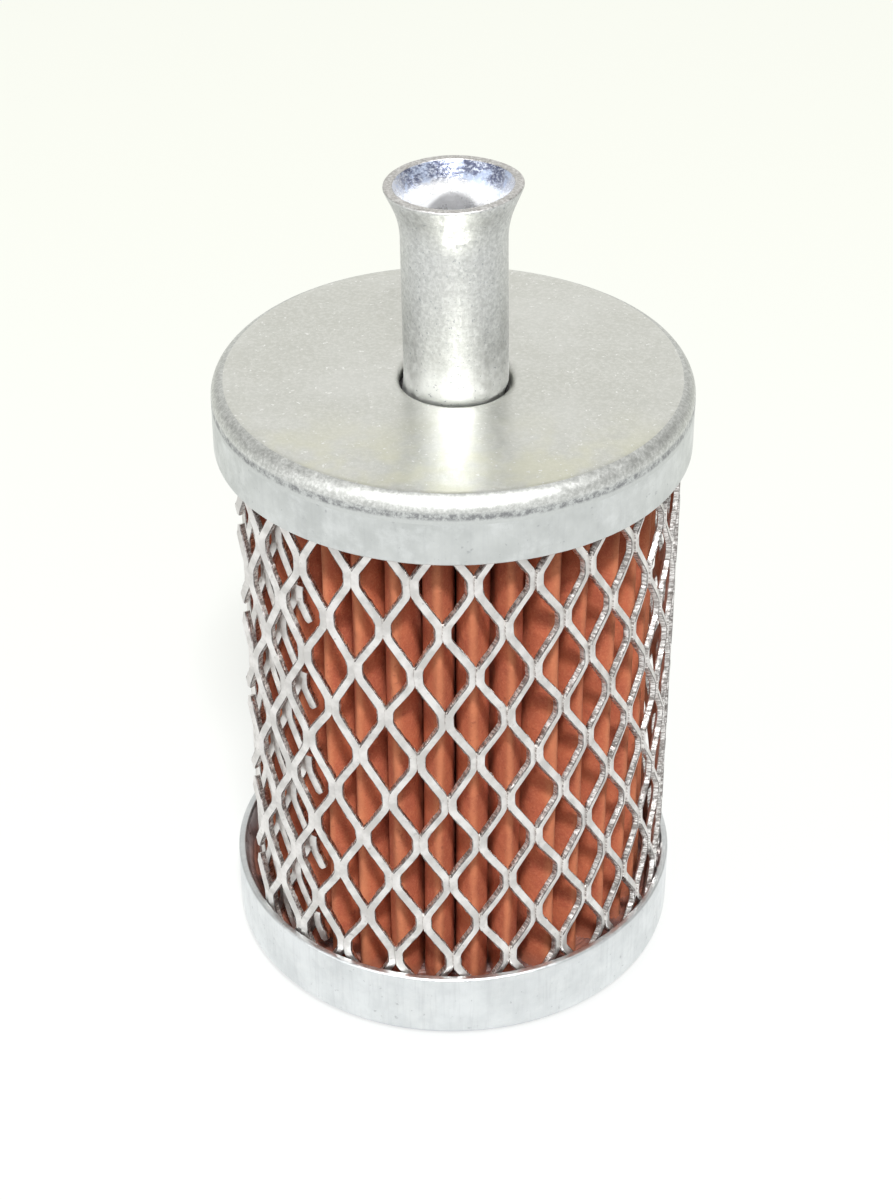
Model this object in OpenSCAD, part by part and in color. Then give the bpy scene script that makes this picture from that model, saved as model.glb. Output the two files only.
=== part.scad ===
// Fuel filter cartridge, in-tank or suction-line kind.
// A pleated paper ring on a perforated core, inside a lapped expanded-metal sleeve,
// potted between two drawn end caps, with one flared outlet tube.
// Frame: millimetres, +Z along the tube, origin at the centre of the bottom cap's base.

/* [Body] */
// Outside diameter of both end caps
cap_diameter = 37.5; // [36:0.1:40]
// Height from the base to the flat top face
body_height = 52.7; // [44:0.1:70]
// Thickness of the cap sheet metal
cap_sheet = 0.6; // [0.4:0.05:0.8]
// Outside radius of the drawn corner of each cap
cap_corner = 1.3; // [1:0.05:2]
// Depth of the top cap's skirt, measured from its face
top_cap_depth = 5.7; // [5:0.1:8]
// Depth of the bottom cap's wall, measured from its base
bottom_cap_depth = 6.4; // [5.6:0.1:9]

/* [Outlet tube] */
// Outside diameter of the tube
tube_diameter = 8; // [7.4:0.05:8.4]
// Wall thickness of the tube
tube_wall = 0.7; // [0.5:0.05:1]
// Height of the tube's mouth above the top face
tube_standout = 15.9; // [10:0.1:40]
// Length of tube below the top face
tube_tail = 14; // [6:0.5:30]
// Angle of the bell mouth's straight part from the axis, in degrees
flare_angle = 24; // [10:1:30]
// Radius of the curve that leads into the bell mouth
flare_bend = 7.2; // [4:0.1:10]
// Slant length of the bell mouth's straight part
flare_slant = 1.6; // [0.6:0.1:3]
// Diameter of the upset bead that sits under the seal
bead_diameter = 11.8; // [11.2:0.1:12]
// Height of the upset bead
bead_height = 1.2; // [0.8:0.1:1.6]

/* [Cap hole and seal] */
// Diameter of the hole's throat round the tube
hole_diameter = 9.1; // [9:0.05:9.4]
// Outside radius of the rolled-in lip
lip_radius = 0.9; // [0.8:0.05:1.2]
// Depth of the lip below the top face
lip_depth = 1.5; // [1.3:0.05:1.8]
// Outside diameter of the seal ring
seal_diameter = 12.2; // [11.6:0.1:12.4]
// Thickness of the seal ring
seal_height = 0.8; // [0.6:0.05:1.2]

/* [Mesh sleeve] */
// Diamonds in one full turn of the sleeve
diamonds_round = 24; // [20:1:26]
// Height of one diamond
diamond_height = 8.15; // [7:0.05:11]
// Half-diamond steps from one cut edge to the other, lap included
sleeve_steps = 50; // [49:1:53]
// Sheet thickness of the expanded metal
mesh_sheet = 0.5; // [0.3:0.05:0.5]
// How far each strand's edges are tilted in and out of the sheet
strand_tilt = 0.25; // [0.1:0.05:0.25]
// Width of the bond where four strands meet
bond_width = 1.1; // [0.8:0.05:1.4]
// Height of the bond where four strands meet
bond_height = 1.4; // [1:0.05:2]
// Middle radius of the outer layer
sleeve_radius = 17.6; // [17:0.05:17.6]
// Radial distance between the two layers at the lap
lap_gap = 1.15; // [1.02:0.01:1.2]
// How far the inner layer's diamonds sit below their rows at the lap
lap_drop = 2.9; // [0:0.1:4]
// How far the diamond rows dip at the left and right of the sleeve
row_dip = 0.9; // [0:0.1:1.5]
// Slope of the diamond rows round the sleeve, in degrees
sleeve_skew = 1.2; // [0:0.1:2]
// Direction of the outer cut edge at the base, in degrees from +X
sleeve_start = 210.3; // [0:0.1:360]

/* [Paper element] */
// Number of pleats
pleats = 32; // [28:1:34]
// Thickness of the filter paper
paper_thickness = 0.4; // [0.3:0.05:0.45]
// Radius to the outer tips of the pleats
pleat_outer = 15.5; // [14.5:0.1:15.5]
// Radius to the inner folds of the pleats
pleat_inner = 6.2; // [6.2:0.1:7]
// Middle-line radius of an outer fold
pleat_lobe = 1.05; // [0.8:0.05:1.1]
// Direction of the joined pleat, in degrees from +X
joined_pleat = 85.2; // [0:0.1:360]

/* [Core] */
// Outside diameter of the perforated core
core_diameter = 11.8; // [11.4:0.1:12]
// Wall thickness of the core
core_wall = 0.4; // [0.3:0.05:0.6]
// Diameter of each hole in the core
core_hole = 2.4; // [1.5:0.1:3]
// Holes round one row of the core
core_holes_round = 8; // [4:2:10]
// Distance between rows of holes
core_row_pitch = 4.4; // [3.6:0.1:8]

/* [Potting] */
// Level of the resin above the base
bottom_resin_level = 4.8; // [4.8:0.1:5.4]
// Depth of the resin below the top face
top_resin_depth = 5.1; // [4.6:0.1:5.1]

/* [Seam clip] */
// Depth of the clip over the joined ends of the paper
clip_depth = 4; // [2:0.1:5]
// Thickness of the clip's metal
clip_sheet = 0.3; // [0.2:0.05:0.4]

/* [Hidden] */
$fn = 96;

cap_radius = cap_diameter / 2;
cavity_radius = cap_radius - cap_sheet;
cavity_corner = cap_corner - cap_sheet;
ceiling = body_height - cap_sheet;
tube_radius = tube_diameter / 2;
bore_radius = tube_radius - tube_wall;
mouth_height = body_height + tube_standout;
hole_radius = hole_diameter / 2;
seal_top = body_height - lip_depth;
bead_top = seal_top - seal_height;
bead_bottom = bead_top - bead_height;
top_resin_level = body_height - top_resin_depth;

// The paper and the core stop short of both cap faces, inside the resin.
end_gap = 0.8;
paper_bottom = cap_sheet + end_gap;
paper_top = ceiling - end_gap;
pleat_step = 360 / pleats;
inner_fold = paper_thickness / 2 + 0.12;
// The joined pleat has its two layers pressed together, and the clip fits round them.
joined_lobe = paper_thickness / 2 + 0.02;
seam_width = 2 * joined_lobe + paper_thickness + 0.04;

// Colours of the finished surfaces.
TIN = [0.80, 0.81, 0.80];
BRIGHT_TIN = [0.86, 0.87, 0.88];
MESH_METAL = [0.84, 0.82, 0.80];
ORANGE_PAPER = [0.72, 0.36, 0.20];
RESIN = [0.58, 0.52, 0.46];
BLACK_RUBBER = [0.08, 0.08, 0.08];
ZINC = [0.62, 0.64, 0.66];

// ---- shared shapes ----

// Solid of revolution whose outline has square ends and one rounded outer corner.
module rounded_disc_outline(radius, height, corner) {
  square([radius - corner, height]);
  translate([0, corner])
    square([radius, height - corner]);
  translate([radius - corner, corner])
    circle(r = corner);
}

// Half section of a drawn cup, open side up, base at z = 0.
module cup_outline(depth) {
  difference() {
    rounded_disc_outline(cap_radius, depth, cap_corner);
    translate([0, cap_sheet])
      rounded_disc_outline(cavity_radius, depth, cavity_corner);
  }
}

// ---- end caps ----

module bottom_cap() {
  color(BRIGHT_TIN)
    rotate_extrude()
      cup_outline(bottom_cap_depth);
}

// Half section of the lip that rolls down into the hole, face at y = 0.
module hole_lip_outline() {
  difference() {
    union() {
      translate([hole_radius, -lip_depth])
        square([cap_sheet, lip_depth - lip_radius]);
      intersection() {
        translate([hole_radius + lip_radius, -lip_radius])
          circle(r = lip_radius);
        translate([hole_radius, -lip_radius])
          square([lip_radius, lip_radius]);
      }
    }
    translate([hole_radius + lip_radius, -lip_radius])
      circle(r = lip_radius - cap_sheet);
  }
}

module top_cap() {
  color(TIN)
    rotate_extrude() {
      difference() {
        translate([0, body_height])
          mirror([0, 1])
            cup_outline(top_cap_depth);
        translate([0, body_height - 2 * cap_sheet])
          square([hole_radius + lip_radius, 3 * cap_sheet]);
      }
      translate([0, body_height])
        hole_lip_outline();
    }
}

// ---- outlet tube ----

// Points up one side of the bell mouth, from the straight tube to the rim.
// side is the distance from the outer surface, measured into the wall.
function flare_points(side) =
  let(
    straight = flare_slant * [sin(flare_angle), cos(flare_angle)],
    centre_x = tube_radius + flare_bend,
    rim_x = centre_x - flare_bend * cos(flare_angle) + straight[0],
    foot_z = mouth_height - straight[1] - flare_bend * sin(flare_angle),
    bend = flare_bend + side
  )
  concat(
    [for (step = [0:8])
      let(angle = flare_angle * step / 8)
      [centre_x - bend * cos(angle), foot_z + bend * sin(angle)]],
    [[rim_x - side / cos(flare_angle), mouth_height]]
  );

function reversed(list) = [for (i = [len(list) - 1:-1:0]) list[i]];

module outlet_tube() {
  tail_end = body_height - tube_tail;
  color(TIN)
    rotate_extrude() {
      polygon(concat(
        [[bore_radius, tail_end], [tube_radius, tail_end]],
        flare_points(0),
        reversed(flare_points(tube_wall))
      ));
      translate([tube_radius - tube_wall / 2, bead_bottom])
        square([bead_diameter / 2 - tube_radius + tube_wall / 2 - bead_height / 2, bead_height]);
      translate([bead_diameter / 2 - bead_height / 2, bead_bottom + bead_height / 2])
        circle(d = bead_height);
    }
}

module tube_seal() {
  color(BLACK_RUBBER)
    translate([0, 0, bead_top])
      difference() {
        cylinder(d = seal_diameter, h = seal_height);
        translate([0, 0, -1])
          cylinder(d = tube_diameter, h = seal_height + 2);
      }
}

// ---- core ----

module core_tube() {
  core_height = bead_bottom - paper_bottom;
  rows = floor((top_resin_level - bottom_resin_level - core_hole) / core_row_pitch);
  first_row = (bottom_resin_level + top_resin_level - (rows - 1) * core_row_pitch) / 2;
  color(ZINC)
    difference() {
      translate([0, 0, paper_bottom])
        cylinder(d = core_diameter, h = core_height);
      translate([0, 0, paper_bottom - 1])
        cylinder(d = core_diameter - 2 * core_wall, h = core_height + 2);
      for (row = [0:rows - 1], turn = [0:core_holes_round - 1])
        rotate([0, 0, (turn + (row % 2) / 2) * 360 / core_holes_round])
          translate([core_diameter / 2, 0, first_row + row * core_row_pitch])
            rotate([0, 90, 0])
              cylinder(d = core_hole, h = 4, center = true, $fn = 24);
    }
}

// ---- paper ----

function polar(radius, angle) = radius * [cos(angle), sin(angle)];

// Outline of the paper ring, moved outward by grow from the paper's middle line.
function pleat_outline(grow) = [
  for (pleat = [0:pleats - 1])
    let(
      axis = joined_pleat + pleat * pleat_step,
      lobe = pleat == 0 ? joined_lobe : pleat_lobe,
      lobe_centre = polar(pleat_outer - paper_thickness / 2 - lobe, axis),
      fold_centre = polar(pleat_inner + paper_thickness / 2 + inner_fold, axis + pleat_step / 2)
    )
    each concat(
      [for (step = [-3:3])
        lobe_centre + polar(lobe + grow, axis + step * 31)],
      [for (step = [-1:1])
        fold_centre + polar(inner_fold - grow, axis + pleat_step / 2 + 180 - step * 88)]
    )
];

module paper_section() {
  difference() {
    polygon(pleat_outline(paper_thickness / 2));
    polygon(pleat_outline(-paper_thickness / 2));
  }
}

module pleated_paper() {
  color(ORANGE_PAPER)
    translate([0, 0, paper_bottom])
      linear_extrude(paper_top - paper_bottom)
        paper_section();
}

// Outline of the clip and the room inside it, over the joined pleat.
module seam_clip_outline() {
  rotate(joined_pleat)
    translate([pleat_outer - clip_depth, -seam_width / 2 - clip_sheet])
      square([clip_depth + clip_sheet, seam_width + 2 * clip_sheet]);
}

module seam_clip_section() {
  difference() {
    seam_clip_outline();
    rotate(joined_pleat)
      translate([pleat_outer - clip_depth - 1, -seam_width / 2])
        square([clip_depth + 1, seam_width]);
  }
}

module seam_clip() {
  color(ZINC)
    translate([0, 0, paper_bottom])
      linear_extrude(paper_top - paper_bottom)
        seam_clip_section();
}

// ---- expanded-metal sleeve ----
// The lattice is a grid of bonds. Column i is one half diamond further round, and each
// bond is joined by strands to two bonds in column i - 1 and two in column i + 1.

column_arc = PI * (sleeve_radius + mesh_sheet / 2 + strand_tilt) / diamonds_round;
half_row = diamond_height / 2;
lattice_low = cap_sheet + bond_height / 2 + 0.35;
lattice_high = ceiling - bond_height / 2 - 0.35;
// One row of bonds is set this far below the base, so that the lattice fills the height.
lattice_drop = 0.8;
rows_up = ceil(ceiling / diamond_height) + 1;

function smooth(t) = let(c = min(1, max(0, t))) c * c * (3 - 2 * c);

// 0 on the outer layer for half a turn, then rising to 1 where the sheet runs under the lap.
function under_lap(i) = smooth((i / (2 * diamonds_round) - 0.55) / 0.4);

// Middle radius of the sheet.
function sheet_radius(i) = sleeve_radius - lap_gap * under_lap(i);

// Position of bond m of column i: [angle in degrees, height].
function bond_place(i, m) =
  let(
    across = i * column_arc,
    up = (2 * m + i % 2) * half_row,
    around = across * cos(sleeve_skew) - up * sin(sleeve_skew),
    angle = sleeve_start + around / column_arc * 180 / diamonds_round,
    height = across * sin(sleeve_skew) + up * cos(sleeve_skew)
  )
  [angle, height - lattice_drop - lap_drop * under_lap(i) - row_dip * pow(cos(angle), 2)];

function bond_exists(i, m) =
  i >= 0 && i <= sleeve_steps && m >= 0 && m < rows_up
  && bond_place(i, m)[1] >= lattice_low && bond_place(i, m)[1] <= lattice_high;

// Corners of a bond in order: bottom, right, top, left. The left one stands out of the
// sheet and the right one sinks into it, so that every strand is tilted the same way.
BOND_CORNERS = [[0, -1], [1, 0], [0, 1], [-1, 0]];

function bond_point(i, m, corner, layer) =
  let(
    place = bond_place(i, m),
    offset = BOND_CORNERS[corner],
    angle = place[0] + offset[0] * bond_width / 2 / column_arc * 180 / diamonds_round,
    radius = sheet_radius(i) - offset[0] * strand_tilt + (layer - 0.5) * mesh_sheet
  )
  [radius * cos(angle), radius * sin(angle), place[1] + offset[1] * bond_height / 2];

function point_number(i, m, corner, layer) = ((i * rows_up + m) * 4 + corner) * 2 + layer;

// Neighbour of a bond across each of its edges, and the corners where its strand lands.
// Edges run bottom-right, right-top, top-left, left-bottom.
function neighbour(i, m, edge) = [
  i + (edge < 2 ? 1 : -1),
  m + i % 2 - (edge == 0 || edge == 3 ? 1 : 0)
];

// Faces of the bond itself, and a closing wall on every edge that has no strand.
function bond_faces(i, m) = concat(
  [[for (corner = [3:-1:0]) point_number(i, m, corner, 1)]],
  [[for (corner = [0:3]) point_number(i, m, corner, 0)]],
  [for (edge = [0:3])
    let(beside = neighbour(i, m, edge), next = (edge + 1) % 4)
    if (!bond_exists(beside[0], beside[1]))
      [
        point_number(i, m, edge, 1), point_number(i, m, next, 1),
        point_number(i, m, next, 0), point_number(i, m, edge, 0)
      ]]
);

// Faces of the strand that leaves a bond across one of its right-hand edges.
function strand_faces(i, m, edge) =
  let(
    beside = neighbour(i, m, edge),
    a = edge,
    b = edge + 1,
    c = (edge + 2) % 4,
    d = (edge + 3) % 4
  )
  [
    [
      point_number(i, m, b, 1), point_number(beside[0], beside[1], c, 1),
      point_number(beside[0], beside[1], d, 1), point_number(i, m, a, 1)
    ],
    [
      point_number(i, m, a, 0), point_number(beside[0], beside[1], d, 0),
      point_number(beside[0], beside[1], c, 0), point_number(i, m, b, 0)
    ],
    [
      point_number(i, m, a, 1), point_number(beside[0], beside[1], d, 1),
      point_number(beside[0], beside[1], d, 0), point_number(i, m, a, 0)
    ],
    [
      point_number(beside[0], beside[1], c, 1), point_number(i, m, b, 1),
      point_number(i, m, b, 0), point_number(beside[0], beside[1], c, 0)
    ]
  ];

module mesh_sleeve() {
  color(MESH_METAL)
    polyhedron(
      points = [
        for (i = [0:sleeve_steps], m = [0:rows_up - 1], corner = [0:3], layer = [0:1])
          bond_point(i, m, corner, layer)
      ],
      faces = [
        for (i = [0:sleeve_steps], m = [0:rows_up - 1])
          if (bond_exists(i, m))
            each concat(
              bond_faces(i, m),
              [for (edge = [0:1])
                let(beside = neighbour(i, m, edge))
                if (bond_exists(beside[0], beside[1]))
                  each strand_faces(i, m, edge)]
            )
      ],
      convexity = 12
    );
}

// ---- potting resin ----

// Room for the paper and its clip in the resin.
module paper_room() {
  translate([0, 0, paper_bottom])
    linear_extrude(paper_top - paper_bottom) {
      paper_section();
      seam_clip_outline();
    }
}

module bottom_potting() {
  color(RESIN)
    difference() {
      rotate_extrude()
        intersection() {
          translate([0, cap_sheet])
            rounded_disc_outline(cavity_radius, bottom_cap_depth, cavity_corner);
          square([cavity_radius, bottom_resin_level]);
        }
      paper_room();
      translate([0, 0, paper_bottom])
        difference() {
          cylinder(d = core_diameter, h = body_height);
          translate([0, 0, -1])
            cylinder(d = core_diameter - 2 * core_wall, h = body_height);
        }
    }
}

module top_potting() {
  color(RESIN)
    difference() {
      rotate_extrude()
        difference() {
          intersection() {
            translate([0, ceiling])
              mirror([0, 1])
                rounded_disc_outline(cavity_radius, top_cap_depth, cavity_corner);
            translate([0, top_resin_level])
              square([cavity_radius, body_height]);
          }
          square([core_diameter / 2, body_height]);
          translate([0, bead_top])
            square([seal_diameter / 2, body_height]);
        }
      paper_room();
    }
}

bottom_cap();
top_cap();
outlet_tube();
tube_seal();
core_tube();
pleated_paper();
seam_clip();
mesh_sleeve();
bottom_potting();
top_potting();
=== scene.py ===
import math

import bmesh
import bpy
import numpy as np
from mathutils import Matrix, Vector


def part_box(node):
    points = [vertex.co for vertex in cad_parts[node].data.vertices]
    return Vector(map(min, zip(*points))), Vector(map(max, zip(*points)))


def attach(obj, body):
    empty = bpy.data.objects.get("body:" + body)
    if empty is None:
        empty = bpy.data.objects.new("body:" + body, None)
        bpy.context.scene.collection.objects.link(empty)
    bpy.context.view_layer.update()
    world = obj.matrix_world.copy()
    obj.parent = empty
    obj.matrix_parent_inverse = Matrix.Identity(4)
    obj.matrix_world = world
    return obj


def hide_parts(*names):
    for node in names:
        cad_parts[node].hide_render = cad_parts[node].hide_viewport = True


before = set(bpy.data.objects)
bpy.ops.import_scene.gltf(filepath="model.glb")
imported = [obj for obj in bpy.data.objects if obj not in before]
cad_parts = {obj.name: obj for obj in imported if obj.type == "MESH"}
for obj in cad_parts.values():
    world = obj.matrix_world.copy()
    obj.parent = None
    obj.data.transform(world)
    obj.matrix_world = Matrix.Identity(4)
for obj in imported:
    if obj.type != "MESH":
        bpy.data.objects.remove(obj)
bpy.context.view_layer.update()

MM = 0.001
cad = {name: np.array(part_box(name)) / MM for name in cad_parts}


# ---------------------------------------------------------------- mesh helpers

def make_object(name, points_mm, faces, replaced=(), slot=None, sharp=32):
    """Mesh object from points in millimetres, closed faces turned outward."""
    mesh = bpy.data.meshes.new(name)
    mesh.from_pydata((np.asarray(points_mm) * MM).tolist(), [], faces)
    mesh.validate()
    piece = bpy.data.objects.new(name, mesh)
    bpy.context.scene.collection.objects.link(piece)
    face_outward(mesh)
    mesh.shade_smooth()
    if sharp:
        mesh.set_sharp_from_angle(angle=math.radians(sharp))
    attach(piece, "root")
    if replaced:
        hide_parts(*replaced)
    return piece


def face_outward(mesh):
    """Turns every face over if the mesh encloses a negative volume."""
    work = bmesh.new()
    work.from_mesh(mesh)
    if work.calc_volume(signed=True) < 0:
        bmesh.ops.reverse_faces(work, faces=work.faces)
    work.to_mesh(mesh)
    work.free()


def rounded_loop(corners, steps=8):
    """Closed outline in mm. Each corner (x, y, radius) becomes an arc of that radius."""
    loop = []
    count = len(corners)
    for i, (x, y, radius) in enumerate(corners):
        here = np.array((x, y))
        if radius == 0:
            loop.append((x, y))
            continue
        back = np.array(corners[i - 1][:2]) - here
        ahead = np.array(corners[(i + 1) % count][:2]) - here
        back = back / np.linalg.norm(back)
        ahead = ahead / np.linalg.norm(ahead)
        half = math.acos(np.clip(back @ ahead, -1, 1)) / 2
        middle = (back + ahead) / np.linalg.norm(back + ahead)
        centre = here + middle * radius / math.sin(half)
        first = math.atan2(*(here + back * radius / math.tan(half) - centre)[::-1])
        last = math.atan2(*(here + ahead * radius / math.tan(half) - centre)[::-1])
        sweep = (last - first + math.pi) % (2 * math.pi) - math.pi
        for k in range(steps + 1):
            turn = first + sweep * k / steps
            loop.append((centre[0] + radius * math.cos(turn), centre[1] + radius * math.sin(turn)))
    return loop


def split_long(loop, longest):
    """The same closed outline with points added on edges longer than longest."""
    out = []
    for i, start in enumerate(loop):
        end = loop[(i + 1) % len(loop)]
        pieces = max(1, math.ceil(math.dist(start, end) / longest))
        for k in range(pieces):
            t = k / pieces
            out.append((start[0] + (end[0] - start[0]) * t, start[1] + (end[1] - start[1]) * t))
    return out


def ring_faces(rings, points, closed_rings=True):
    """Quads between rings of points, each ring a closed loop."""
    faces = []
    last = rings if closed_rings else rings - 1
    for s in range(last):
        here, ahead = s * points, (s + 1) % rings * points
        for p in range(points):
            q = (p + 1) % points
            faces.append((here + p, ahead + p, ahead + q, here + q))
    return faces


def turned_points(outline, segments, wobble):
    """An outline's points turned round the Z axis. wobble(r, z, angle) may move them a little."""
    angle = np.arange(segments)[:, None] * 2 * math.pi / segments
    r = np.broadcast_to(outline[:, 0], (segments, len(outline)))
    z = np.broadcast_to(outline[:, 1], (segments, len(outline)))
    if wobble:
        r, z = wobble(r, z, angle + 0 * r)
    return np.stack([r * np.cos(angle), r * np.sin(angle), z], -1).reshape(-1, 3)


def turned_ring(name, loop, segments, wobble=None, **kind):
    """Turned solid with a hole: its outline is a closed loop clear of the axis."""
    points = turned_points(np.array(loop), segments, wobble)
    return make_object(name, points, ring_faces(segments, len(loop)), **kind)


def turned_disc(name, loop, segments, wobble=None, **kind):
    """Turned solid without a hole: its outline starts and ends on the axis."""
    outline = np.array(loop)
    points = turned_points(outline[1:-1], segments, wobble)
    count = len(outline) - 2
    closing = {0, count - 1}
    faces = [face for face in ring_faces(segments, count) if {face[0] % count, face[3] % count} != closing]
    low, high = len(points), len(points) + 1
    points = np.vstack([points, [(0, 0, outline[0][1])], [(0, 0, outline[-1][1])]])
    for s in range(segments):
        here, ahead = s * count, (s + 1) % segments * count
        faces.append((here, low, ahead))
        faces.append((ahead + count - 1, high, here + count - 1))
    return make_object(name, points, faces, **kind)


def waves(angle, seed, orders, size):
    """Smooth random wave round the axis, made of a few whole orders."""
    rng = np.random.default_rng(seed)
    total = 0 * angle
    for order in orders:
        total = total + rng.normal() * np.sin(order * angle + rng.uniform(0, 2 * math.pi))
    return total * size / math.sqrt(len(orders))


# ---------------------------------------------------------------- shader helpers

class Look:
    """A procedural material on one Principled shader, written in object coordinates."""

    def __init__(self, name, **sockets):
        self.material = bpy.data.materials.new(name)
        self.material.use_nodes = True
        self.tree = self.material.node_tree
        self.shader = self.tree.nodes["Principled BSDF"]
        self.place = self.add("ShaderNodeTexCoord").outputs["Object"]
        for socket, value in sockets.items():
            self.shader.inputs[socket.replace("_", " ")].default_value = value

    def add(self, kind, **settings):
        node = self.tree.nodes.new(kind)
        for key, value in settings.items():
            setattr(node, key, value)
        return node

    def feed(self, socket, value):
        if isinstance(value, bpy.types.NodeSocket):
            self.tree.links.new(value, socket)
        else:
            socket.default_value = value

    def stretched(self, sx, sy, sz):
        """Coordinates in millimetres, each multiplied by a factor."""
        node = self.add("ShaderNodeMapping")
        self.feed(node.inputs["Vector"], self.place)
        node.inputs["Scale"].default_value = (sx / MM, sy / MM, sz / MM)
        return node.outputs["Vector"]

    def polar(self, out_scale, turn_scale, up_scale):
        """Radius and height in millimetres and angle, each multiplied by a factor, for streaks that
        follow a turned part."""
        turn = self.maths("ARCTAN2", self.axis("Y"), self.axis("X"))
        join = self.add("ShaderNodeCombineXYZ")
        self.feed(join.inputs[0], self.maths("MULTIPLY", self.radius(), out_scale / MM))
        self.feed(join.inputs[1], self.maths("MULTIPLY", turn, turn_scale))
        self.feed(join.inputs[2], self.maths("MULTIPLY", self.axis("Z"), up_scale / MM))
        return join.outputs[0]

    def radius(self):
        """Distance from the Z axis, in metres."""
        x, y = self.axis("X"), self.axis("Y")
        square = self.maths("ADD", self.maths("MULTIPLY", x, x), self.maths("MULTIPLY", y, y))
        return self.maths("SQRT", square)

    def axis(self, name):
        parts = self.add("ShaderNodeSeparateXYZ")
        self.feed(parts.inputs[0], self.place)
        return parts.outputs[name]

    def noise(self, size_mm, detail=3, roughness=0.55, vector=None, distortion=0.0):
        """Noise with lumps of a size in millimetres, or in the units of the vector given."""
        node = self.add("ShaderNodeTexNoise")
        self.feed(node.inputs["Vector"], vector or self.place)
        node.inputs["Scale"].default_value = 1 / (size_mm * MM) if vector is None else 1 / size_mm
        node.inputs["Detail"].default_value = detail
        node.inputs["Roughness"].default_value = roughness
        node.inputs["Distortion"].default_value = distortion
        return node.outputs["Fac"]

    def maths(self, operation, a, b=None):
        node = self.add("ShaderNodeMath", operation=operation)
        self.feed(node.inputs[0], a)
        if b is not None:
            self.feed(node.inputs[1], b)
        return node.outputs[0]

    def remap(self, value, low, high, to_low=0.0, to_high=1.0):
        """Smooth step from to_low at low to to_high at high."""
        node = self.add("ShaderNodeMapRange", interpolation_type="SMOOTHSTEP")
        self.feed(node.inputs["Value"], value)
        node.inputs["From Min"].default_value = low
        node.inputs["From Max"].default_value = high
        node.inputs["To Min"].default_value = to_low
        node.inputs["To Max"].default_value = to_high
        return node.outputs["Result"]

    def blend(self, amount, a, b):
        """Mixes colour b over colour a by an amount."""
        node = self.add("ShaderNodeMix", data_type="RGBA")
        self.feed(node.inputs["Factor"], amount)
        for label, value in (("A", a), ("B", b)):
            socket = [s for s in node.inputs if s.name == label and s.type == "RGBA"][0]
            self.feed(socket, value if isinstance(value, bpy.types.NodeSocket) else (*value, 1.0))
        return [s for s in node.outputs if s.type == "RGBA"][0]

    def bump(self, height, depth_mm, strength=1.0, after=None):
        node = self.add("ShaderNodeBump")
        self.feed(node.inputs["Height"], height)
        node.inputs["Distance"].default_value = depth_mm * MM
        node.inputs["Strength"].default_value = strength
        if after is not None:
            self.feed(node.inputs["Normal"], after)
        return node.outputs["Normal"]

    def finish(self, colour=None, roughness=None, normal=None):
        for socket, value in (("Base Color", colour), ("Roughness", roughness), ("Normal", normal)):
            if value is not None:
                self.feed(self.shader.inputs[socket], value)
        return self.material


def face_tin_look():
    """Rolled tinplate on the top cap: satin grey, a little yellow in patches at the front, with
    fine bright and dark specks."""
    look = Look("rolled_tinplate", Metallic=1.0)
    cloud = look.noise(7.0, 4, 0.6)
    grain = look.noise(0.3, 4, 0.7)
    base = look.blend(look.remap(cloud, 0.35, 0.68), (0.67, 0.675, 0.63), (0.735, 0.74, 0.705))
    base = look.blend(look.remap(grain, 0.40, 0.68, 0.0, 0.6), base, (0.85, 0.85, 0.82))
    front = look.remap(look.axis("Y"), -4 * MM, -14 * MM)
    tint = look.maths("MULTIPLY", look.remap(look.noise(6.0, 3, 0.6), 0.42, 0.62, 0.0, 0.5), front)
    base = look.blend(tint, base, (0.79, 0.78, 0.60))
    bright = look.remap(look.noise(0.36, 3, 0.6), 0.64, 0.70)
    base = look.blend(bright, base, (0.97, 0.97, 0.95))
    dark = look.remap(look.noise(0.4, 2, 0.5, look.stretched(1.1, 1, 1)), 0.74, 0.8)
    base = look.blend(look.maths("MULTIPLY", dark, 0.25), base, (0.42, 0.42, 0.42))
    brushed = look.noise(1.0, 2, 0.5, look.polar(0.25, 120, 0.25))
    rough = look.remap(look.noise(1.1, 4, 0.65), 0.3, 0.7, 0.30, 0.42)
    normal = look.bump(look.noise(0.22, 3, 0.6), 0.012, 0.3)
    normal = look.bump(brushed, 0.006, 0.25, normal)
    normal = look.bump(look.noise(2.6, 2, 0.5), 0.03, 0.12, normal)
    return look.finish(base, rough, normal)


def wall_tin_look(name, low, high, streaks):
    """Drawn cap wall: cloudy tinplate with faint drawing streaks along the axis, and a bluish painted
    contact shade where it stands on the floor."""
    look = Look(name, Metallic=1.0)
    cloud = look.noise(4.0, 4, 0.6)
    base = look.blend(look.remap(cloud, 0.35, 0.68), low, high)
    spangle = look.remap(look.noise(2.2, 5, 0.7), 0.45, 0.68, 0.0, 0.4)
    base = look.blend(spangle, base, (0.82, 0.84, 0.84))
    drawn = look.noise(1.0, 3, 0.6, look.polar(0.4, 60, 0.25))
    base = look.blend(look.remap(drawn, 0.45, 0.72, 0.0, streaks), base, (0.40, 0.41, 0.43))
    dark = look.remap(look.noise(0.45, 2, 0.5), 0.68, 0.76)
    base = look.blend(look.maths("MULTIPLY", dark, 0.35), base, (0.25, 0.26, 0.28))
    # painted contact shade: bluish dark at the foot, where the wall stands on the floor
    foot_painted_lighting = look.remap(look.axis("Z"), 0.75 * MM, 0.25 * MM, 0.0, 0.85)
    base = look.blend(foot_painted_lighting, base, (0.16, 0.19, 0.30))
    rough = look.remap(look.noise(0.9, 4, 0.65), 0.3, 0.7, 0.34, 0.50)
    normal = look.bump(look.noise(0.24, 4, 0.7), 0.03, 0.45)
    normal = look.bump(drawn, 0.01, 0.15, normal)
    return look.finish(base, rough, normal)


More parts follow.
